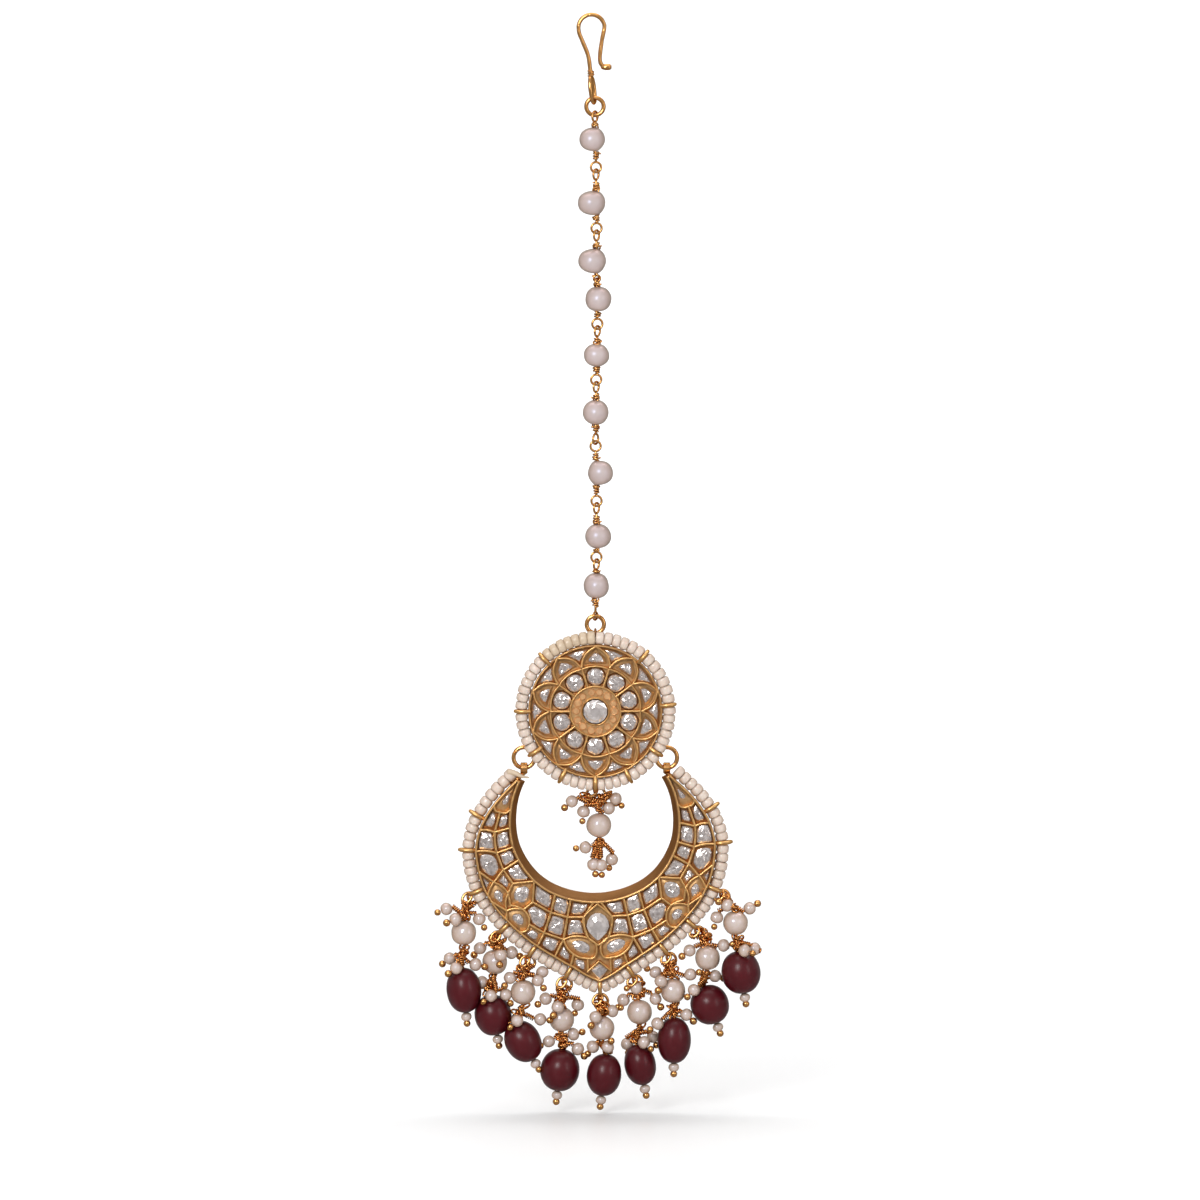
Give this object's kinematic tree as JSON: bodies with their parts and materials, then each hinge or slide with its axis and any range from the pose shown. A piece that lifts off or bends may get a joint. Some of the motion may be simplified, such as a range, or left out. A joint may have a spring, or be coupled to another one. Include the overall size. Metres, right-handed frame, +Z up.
{
  "type": "maang tikka",
  "caption": "Forehead ornament: a hair hook, a chain of pearls, a round stone-set disc and a stone-set crescent with hanging pearl and maroon bead drops.",
  "frame": {"origin": "top of the inside of the hair hook's bend, where the hook sits on the hair", "axes": "+Z up along the hanging chain, -Y towards the viewer of the stone-set front, +X to the right seen from the front"},
  "size_m": [0.0483, 0.0067, 0.1709],
  "materials": {
    "gold": "matte antique gold plating",
    "copper_wire": "bright copper-gold wire",
    "pearl": "satin pearl",
    "seed_bead": "opaque gloss",
    "maroon_bead": "polished",
    "clear_stone": "faceted over foil"
  },
  "bodies": {
    "chain": {"chain_pearl_1": "pearl", "chain_pearl_2": "pearl", "chain_pearl_3": "pearl", "chain_pearl_4": "pearl", "chain_pearl_5": "pearl", "chain_pearl_6": "pearl", "chain_pearl_7": "pearl", "chain_pearl_8": "pearl", "chain_pearl_9": "pearl", "hair_hook": "gold", "hook_ring": "gold", "link_wire_1": "gold", "link_wire_2": "gold", "link_wire_3": "gold", "link_wire_4": "gold", "link_wire_5": "gold", "link_wire_6": "gold", "link_wire_7": "gold", "link_wire_8": "gold", "link_wire_9": "gold"},
    "disc": {"centre_drop_pearl": "pearl", "centre_drop_wire": "copper_wire", "disc_bead_rim": "seed_bead", "disc_centre_stone": "clear_stone", "disc_frame": "gold", "disc_ring": "gold", "side_ring_left": "gold", "side_ring_right": "gold"},
    "crescent": {"crescent_bead_rim": "seed_bead", "crescent_centre_stone": "clear_stone", "crescent_frame": "gold", "drop_bead_1": "maroon_bead", "drop_bead_2": "maroon_bead", "drop_bead_3": "maroon_bead", "drop_bead_4": "maroon_bead", "drop_bead_5": "maroon_bead", "drop_bead_6": "maroon_bead", "drop_bead_7": "maroon_bead", "drop_bead_8": "maroon_bead", "drop_bead_9": "maroon_bead", "drop_pearl_1": "pearl", "drop_pearl_2": "pearl", "drop_pearl_3": "pearl", "drop_pearl_4": "pearl", "drop_pearl_5": "pearl", "drop_pearl_6": "pearl", "drop_pearl_7": "pearl", "drop_pearl_8": "pearl", "drop_pearl_9": "pearl", "drop_wire_1": "copper_wire", "drop_wire_2": "copper_wire", "drop_wire_3": "copper_wire", "drop_wire_4": "copper_wire", "drop_wire_5": "copper_wire", "drop_wire_6": "copper_wire", "drop_wire_7": "copper_wire", "drop_wire_8": "copper_wire", "drop_wire_9": "copper_wire"}
  },
  "joints": [
    {"name": "disc_swing", "type": "hinge", "parent": "chain", "child": "disc", "pos_m": [0.0006, 0, -0.09328], "axis": [1, 0, 0], "range_deg": [-60, 60]},
    {"name": "crescent_swing", "type": "hinge", "parent": "disc", "child": "crescent", "pos_m": [0.0006, 0, -0.11707], "axis": [1, 0, 0], "range_deg": [-60, 60]}
  ]
}
